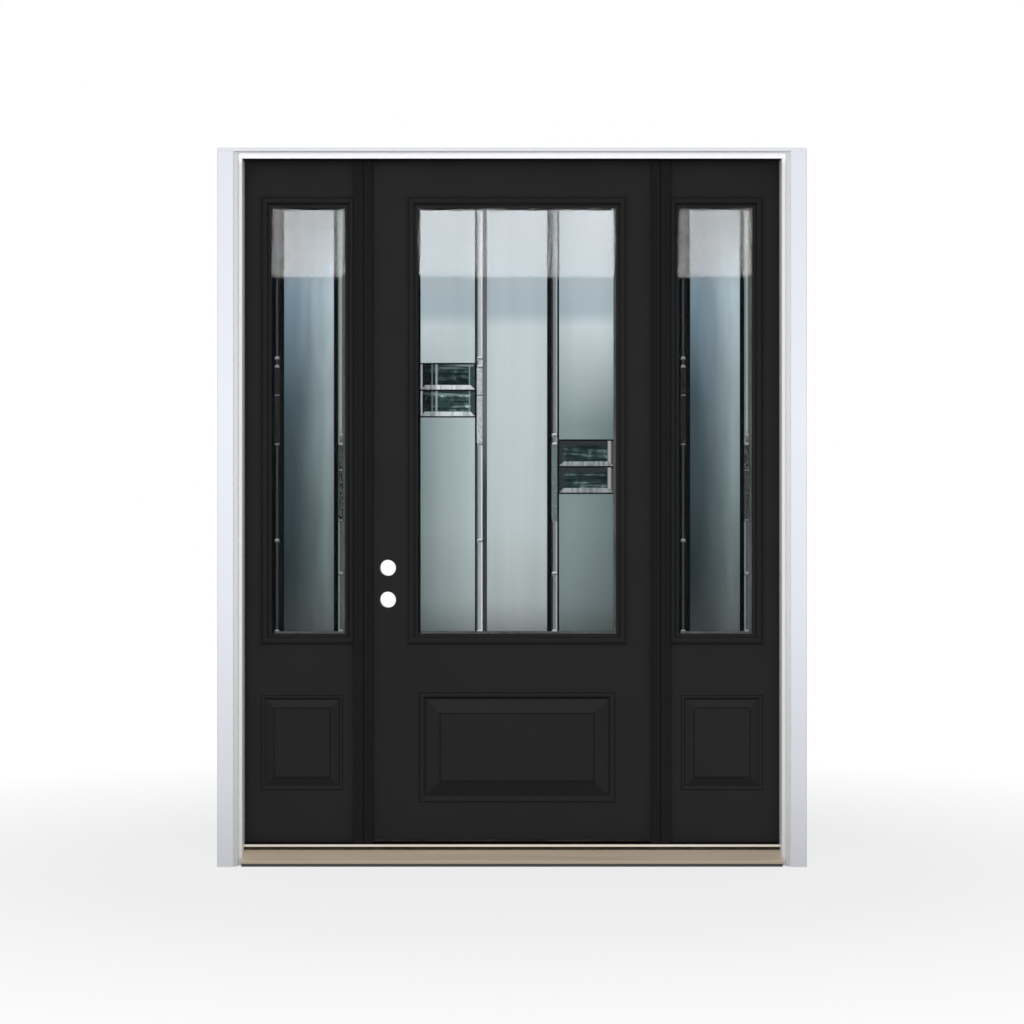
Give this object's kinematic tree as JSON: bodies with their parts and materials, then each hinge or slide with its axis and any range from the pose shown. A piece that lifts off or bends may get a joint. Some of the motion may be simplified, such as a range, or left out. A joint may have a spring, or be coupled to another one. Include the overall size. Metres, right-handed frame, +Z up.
{
  "type": "entrance door with sidelights",
  "caption": "Pre-hung entrance door: black panelled leaf with leaded glass, hinged between glazed sidelights in a white cased frame on a sloped metal sill.",
  "frame": {"origin": "on the underside of the sill, midway between the jambs and at the jambs' mid-depth", "axes": "+Z up, -Y towards the outside of the building, +X to the right as seen from outside"},
  "size_m": [1.732, 0.1615, 2.117],
  "materials": {
    "white_frame": "satin white",
    "black_skin": "satin black",
    "black_trim": "satin black",
    "clear_glass": "clear",
    "decor_glass": "textured",
    "bevel_glass": "bevelled",
    "came_metal": "dark patina",
    "spacer_metal": "satin",
    "seal_foam": "matt",
    "sill_metal": "brushed tan",
    "sill_cap": "satin beige",
    "sill_core": "matt dark",
    "black_rubber": "matt",
    "hinge_steel": "satin"
  },
  "bodies": {
    "frame": {"left_jamb": "white_frame", "right_jamb": "white_frame", "head_jamb": "white_frame", "left_casing": "white_frame", "right_casing": "white_frame", "head_casing": "white_frame", "left_mullion": "black_skin", "right_mullion": "black_skin", "sill_base": "sill_core", "sill_deck": "sill_metal", "threshold_cap": "sill_cap", "threshold_gasket": "black_rubber", "left_sidelight_seal": "seal_foam", "right_sidelight_seal": "seal_foam", "door_seal": "seal_foam", "frame_hinge_leaves": "hinge_steel", "hinge_pins": "hinge_steel", "left_sidelight_panel": "black_skin", "left_sidelight_outer_trim": "black_trim", "left_sidelight_inner_trim": "black_trim", "left_sidelight_panes": "clear_glass", "left_sidelight_spacer": "spacer_metal", "left_sidelight_decor_glass": "decor_glass", "left_sidelight_cames": "came_metal", "right_sidelight_panel": "black_skin", "right_sidelight_outer_trim": "black_trim", "right_sidelight_inner_trim": "black_trim", "right_sidelight_panes": "clear_glass", "right_sidelight_spacer": "spacer_metal", "right_sidelight_decor_glass": "decor_glass", "right_sidelight_cames": "came_metal"},
    "door": {"door_slab": "black_skin", "door_outer_trim": "black_trim", "door_inner_trim": "black_trim", "door_panes": "clear_glass", "door_spacer": "spacer_metal", "door_decor_glass": "decor_glass", "door_cames": "came_metal", "door_bevels": "bevel_glass", "door_sweep": "black_rubber", "door_hinge_leaves": "hinge_steel"}
  },
  "joints": [
    {"name": "door_swing", "type": "hinge", "parent": "frame", "child": "door", "pos_m": [0.4242, 0.065, 0], "axis": [0, 0, -1], "range_deg": [0, 165]}
  ]
}
